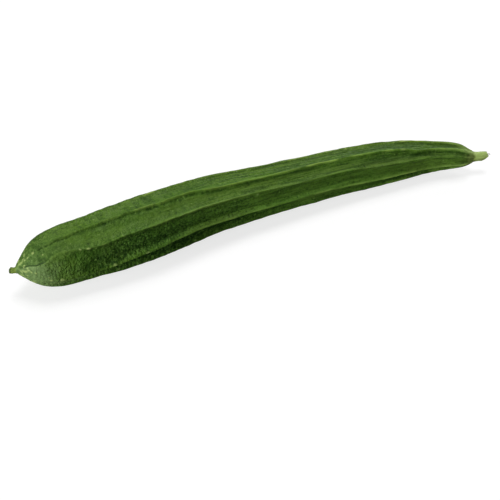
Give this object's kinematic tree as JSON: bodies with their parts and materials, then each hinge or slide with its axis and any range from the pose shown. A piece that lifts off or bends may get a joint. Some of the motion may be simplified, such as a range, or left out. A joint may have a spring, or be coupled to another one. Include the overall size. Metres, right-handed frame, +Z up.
{
  "type": "ridge gourd",
  "caption": "Long curved green ridge gourd with sharp lengthwise ridges, a cut stem stub at the slender end and a withered flower remnant at the blunt end, lying on a surface.",
  "frame": {"origin": "middle of the bounding box, on the surface the gourd lies on", "axes": "+X along the length towards the cut stem, +Z up from the resting surface, -Y towards the side that shows in the reference view"},
  "size_m": [0.3975, 0.0622, 0.0478],
  "materials": {
    "rind": "waxy green rind, low sheen, darker in the grooves and paler along the ridge crests",
    "stem": "pale yellow-green fresh stem, matt, fibrous cut face",
    "flower_remnant": "olive green, matt, dark withered rim"
  },
  "bodies": {
    "root": {"gourd_body": "rind", "stem_stub": "stem", "blossom_tip": "flower_remnant"}
  },
  "joints": []
}
